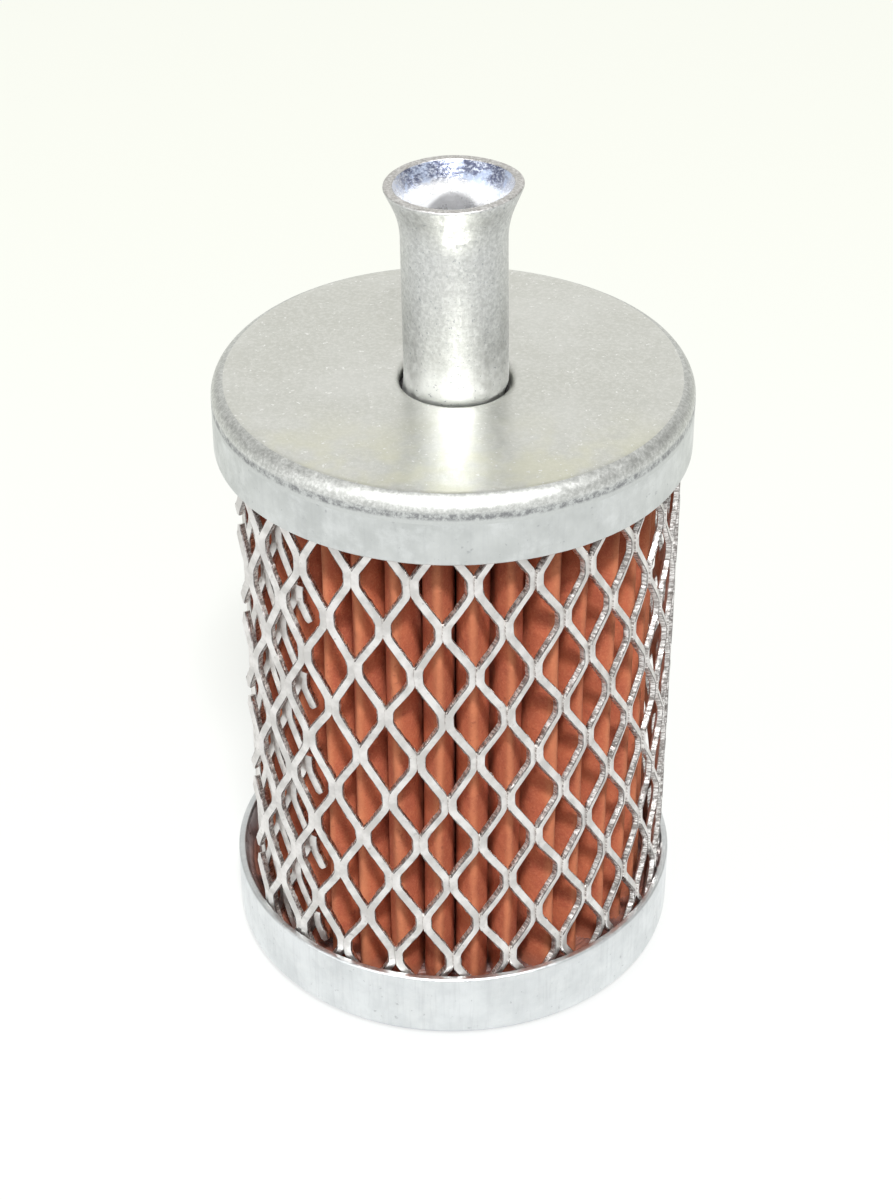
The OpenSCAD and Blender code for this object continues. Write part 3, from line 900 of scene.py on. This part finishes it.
def build_paper():
    rng = np.random.default_rng(7)
    shapes = (
        rng.uniform(-1, 1, PLEATS), rng.uniform(-1, 1, PLEATS), rng.uniform(0, 1, PLEATS),
        rng.uniform(0, 1, PLEATS), rng.uniform(0, 2 * math.pi, (PLEATS, 3)),
    )
    levels = np.linspace(PAPER_LOW, PAPER_HIGH, PAPER_RINGS)
    rings = []
    for z in levels:
        ring = []
        for j in range(PLEATS):
            axis = JOINED_PLEAT + j * 2 * math.pi / PLEATS
            flank = list(zip(*pleat_flank(j, z, shapes)))
            ring += [to_plane(axis, r, middle - w) for r, w, middle in reversed(flank)]
            ring += [to_plane(axis, r, middle + w) for r, w, middle in flank]
            valley = axis + math.pi / PLEATS
            fold = ((FOLD, -FOLD_HALF), (FOLD - 0.12, 0), (FOLD, FOLD_HALF))
            ring += [to_plane(valley, along, sideways) for along, sideways in fold]
        rings.append(ring)
    outer = np.array(rings)
    ahead = np.roll(outer, -1, 1) - outer
    behind = outer - np.roll(outer, 1, 1)
    tangent = ahead / np.maximum(np.linalg.norm(ahead, axis=2, keepdims=True), 1e-6)
    tangent += behind / np.maximum(np.linalg.norm(behind, axis=2, keepdims=True), 1e-6)
    tangent /= np.linalg.norm(tangent, axis=2, keepdims=True)
    inner = outer + np.stack([-tangent[..., 1], tangent[..., 0]], -1) * PAPER * 0.6
    rows, count = outer.shape[:2]
    heights = np.repeat(levels[:, None], count, 1)[..., None]
    points = np.concatenate([
        np.concatenate([outer, heights], 2).reshape(-1, 3),
        np.concatenate([inner, heights], 2).reshape(-1, 3),
    ])
    base, top = rows * count, (rows - 1) * count
    faces = ring_faces(rows, count, False)
    faces += [tuple(base + i for i in reversed(face)) for face in faces]
    for p in range(count):
        q = (p + 1) % count
        faces.append((base + p, p, q, base + q))
        faces.append((top + p, base + top + p, base + top + q, top + q))
    paper = make_object(
        "pleated_filter_paper", points, faces, replaced=["pleated_paper"], slot="filter_paper", sharp=70,
    )
    paper.data.materials.append(paper_look())


def to_plane(axis, along, sideways):
    """Point at a distance along a direction from the axis, and sideways from it."""
    return (
        along * math.cos(axis) - sideways * math.sin(axis),
        along * math.sin(axis) + sideways * math.cos(axis),
    )


# ---------------------------------------------------------------- potting resin

RESIN_LOW = cad["bottom_potting"][0][2]
RESIN_LEVEL = cad["bottom_potting"][1][2]
RESIN_EDGE = cad["bottom_potting"][1][0] - 0.02
RESIN_SUNK = 1.45  # how far its middle lies below RESIN_LEVEL
CLIMB_START = 13.5
CLIMB_RADII = (CLIMB_START, 15.4, 15.8, 16.2, 16.6, 16.9, 17.3, 17.6, 17.85, 18.0, RESIN_EDGE)
CLIMB_HEIGHTS = (-1.3, -1.3, -1.25, -1.2, -1.1, -0.9, -0.4, 0.1, 0.5, 0.95, 1.45)
CLIMB_STEPS = 60
CLIMB_SMOOTHING = 7  # steps, an odd number


def resin_climb():
    """Radii and heights of the resin's surface as it creeps up the cap's wall, with soft bends."""
    radii = np.linspace(CLIMB_START, RESIN_EDGE, CLIMB_STEPS)
    heights = np.interp(radii, CLIMB_RADII, CLIMB_HEIGHTS)
    kernel = np.hanning(CLIMB_SMOOTHING)
    padded = np.pad(heights, CLIMB_SMOOTHING // 2, mode="edge")
    return radii, RESIN_LEVEL + np.convolve(padded, kernel / kernel.sum(), "valid") - 0.15


def build_resin():
    radii, heights = resin_climb()
    middle = RESIN_LEVEL - RESIN_SUNK
    loop = [
        (0, RESIN_LOW), (RESIN_EDGE - 0.68, RESIN_LOW), (RESIN_EDGE - 0.18, RESIN_LOW + 0.25),
        (RESIN_EDGE, RESIN_LOW + 0.75),
    ]
    loop += zip(radii[::-1], heights[::-1])
    loop += [(10, middle), (0, middle)]

    def wobble(r, z, angle):
        on_top = (z > RESIN_LEVEL - 2.0) & (r > 12)
        ripple = waves(angle, 21, (5, 9, 14, 23, 37), 0.10) * np.clip((r - 13) / 2, 0, 1)
        ripple = ripple + waves(angle + r, 22, (11, 19, 24), 0.05)
        return r, z + np.where(on_top, ripple, 0)

    resin = turned_disc(
        "bottom_resin", loop, 320, wobble, replaced=["bottom_potting"], slot="potting_resin", sharp=60,
    )
    resin.data.materials.append(resin_look())


# ---------------------------------------------------------------- build everything

build_top_cap()
build_bottom_cap()
build_tube()
build_seal()
build_sleeve()
build_paper()
build_resin()

hidden_looks = {"core_tube": zinc_look(), "seam_clip": zinc_look(), "top_potting": resin_look()}
for node_name, look in hidden_looks.items():
    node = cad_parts[node_name]
    if not node.material_slots:
        node.data.materials.append(look)
    for slot in node.material_slots:
        slot.material = look


# ---------------------------------------------------------------- stage, light and camera

SKY_HORIZON = 0.82
SKY_BACK = 0.92
SKY_FRONT = 0.34
SKY_SIDE = 0.42
SKY_TOP = 0.34
FLOOR_HALF = 3.0
FLOOR_GAP = 0.0001
LIGHT_AIM = (0, 0, 0.03)
CAMERA_PLACE = (0, -0.17215, 0.14959)
CAMERA_PITCH = 0.6024
CAMERA_YAW = -0.0032
CAMERA_ROLL = -0.0016
CAMERA_LENS = 76.33
CAMERA_SENSOR = 36


def build_floor():
    """Pale floor that shines faintly by itself, yellower behind the object."""
    mesh = bpy.data.meshes.new("floor")
    corners = [(x * FLOOR_HALF, y * FLOOR_HALF, 0) for x, y in ((-1, -1), (1, -1), (1, 1), (-1, 1))]
    mesh.from_pydata(corners, [], [(0, 1, 2, 3)])
    floor = bpy.data.objects.new("floor", mesh)
    floor.location.z = -FLOOR_GAP
    bpy.context.scene.collection.objects.link(floor)
    look = Look("pale_floor", Roughness=0.9, Specular_IOR_Level=0.1, Emission_Strength=1.0)
    far = look.remap(look.axis("Y"), -50 * MM, 160 * MM)
    glow = look.blend(far, (0.755, 0.765, 0.76), (0.76, 0.775, 0.70))
    look.feed(look.shader.inputs["Emission Color"], glow)
    floor.data.materials.append(look.finish((0.15, 0.15, 0.15, 1)))


def build_world():
    """Pale horizon, bright behind the object, greyer overhead and darker at the sides."""
    world = bpy.data.worlds.new("studio")
    bpy.context.scene.world = world
    world.use_nodes = True
    tree = world.node_tree

    def node(kind, *inputs, **settings):
        made = tree.nodes.new(kind)
        for key, value in settings.items():
            setattr(made, key, value)
        for socket, value in zip(made.inputs, inputs):
            if isinstance(value, bpy.types.NodeSocket):
                tree.links.new(value, socket)
            elif value is not None:
                socket.default_value = value
        return made.outputs[0]

    def step(value, low, high):
        return node("ShaderNodeMapRange", value, low, high, 0.0, 1.0, interpolation_type="SMOOTHSTEP")

    def between(amount, a, b):
        span = node("ShaderNodeMath", b, a, operation="SUBTRACT")
        return node("ShaderNodeMath", amount, span, a, operation="MULTIPLY_ADD")

    direction = tree.nodes.new("ShaderNodeTexCoord").outputs["Generated"]
    parts = tree.nodes.new("ShaderNodeSeparateXYZ")
    tree.links.new(direction, parts.inputs[0])
    x, y, z = parts.outputs
    aside = node("ShaderNodeMath", x, operation="ABSOLUTE")
    glow = between(step(y, -0.1, 0.75), SKY_FRONT, SKY_BACK)
    glow = between(step(aside, 0.35, 0.8), glow, SKY_SIDE)
    glow = between(step(z, 0.6, 0.95), glow, SKY_TOP)
    glow = between(step(z, 0.02, 0.14), SKY_HORIZON, glow)
    background = tree.nodes["Background"]
    background.inputs["Color"].default_value = (1.0, 1.0, 0.97, 1)
    tree.links.new(glow, background.inputs["Strength"])


def area_light(name, place, size, power):
    """Rectangular light, in metres and watts, aimed at the middle of the object."""
    light = bpy.data.lights.new(name, "AREA")
    light.shape = "RECTANGLE"
    light.size, light.size_y = size
    light.energy = power
    lamp = bpy.data.objects.new(name, light)
    direction = Vector(LIGHT_AIM) - Vector(place)
    lamp.matrix_world = Matrix.Translation(place) @ direction.to_track_quat("-Z", "Y").to_matrix().to_4x4()
    bpy.context.scene.collection.objects.link(lamp)


def build_camera():
    level = Vector((math.sin(CAMERA_YAW), math.cos(CAMERA_YAW), 0))
    forward = level * math.cos(CAMERA_PITCH) - Vector((0, 0, math.sin(CAMERA_PITCH)))
    right = Vector((level.y, -level.x, 0))
    up = right.cross(forward)
    side = right * math.cos(CAMERA_ROLL) + up * math.sin(CAMERA_ROLL)
    top = up * math.cos(CAMERA_ROLL) - right * math.sin(CAMERA_ROLL)
    data = bpy.data.cameras.new("camera")
    data.sensor_width = CAMERA_SENSOR
    data.lens = CAMERA_LENS
    data.clip_start = 0.01
    camera = bpy.data.objects.new("camera", data)
    turn = Matrix((side, top, -forward)).transposed()
    camera.matrix_world = Matrix.Translation(CAMERA_PLACE) @ turn.to_4x4()
    bpy.context.scene.collection.objects.link(camera)
    bpy.context.scene.camera = camera


build_floor()
build_world()
area_light("key", (0.04, -0.46, 0.69), (0.085, 0.065), 8.0)
area_light("flash", (0.01, -0.60, 0.63), (0.11, 0.08), 1.6)
area_light("over", (0.0, 0.0, 0.95), (0.5, 0.4), 0.5)
area_light("fill", (-0.55, -0.35, 0.35), (0.35, 0.35), 0.9)
build_camera()
bpy.context.scene.view_settings.view_transform = "Standard"
